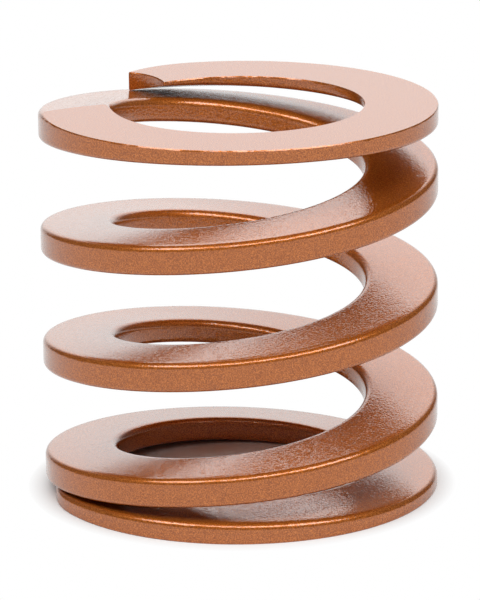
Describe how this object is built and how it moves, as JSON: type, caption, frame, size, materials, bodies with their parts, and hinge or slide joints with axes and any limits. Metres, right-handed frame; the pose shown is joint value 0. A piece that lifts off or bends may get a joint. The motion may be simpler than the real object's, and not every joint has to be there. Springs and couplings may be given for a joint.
{
  "type": "bump stop spring",
  "caption": "Short, stiff compression coil of flat wire with closed and ground ends, slipped over a damper's rod to cushion the last of its travel.",
  "frame": {"origin": "centre of the ground bottom end, on the coil's axis", "axes": "+Z along the coil's axis from the bottom end to the top end; -Y faces the picture's camera"},
  "size_m": [0.0508, 0.0508, 0.0503],
  "materials": {
    "bronze_coat": "semi-gloss metallic bronze coat over spring steel, with a fine grain"
  },
  "bodies": {
    "root": {"coil": "bronze_coat"}
  },
  "joints": []
}
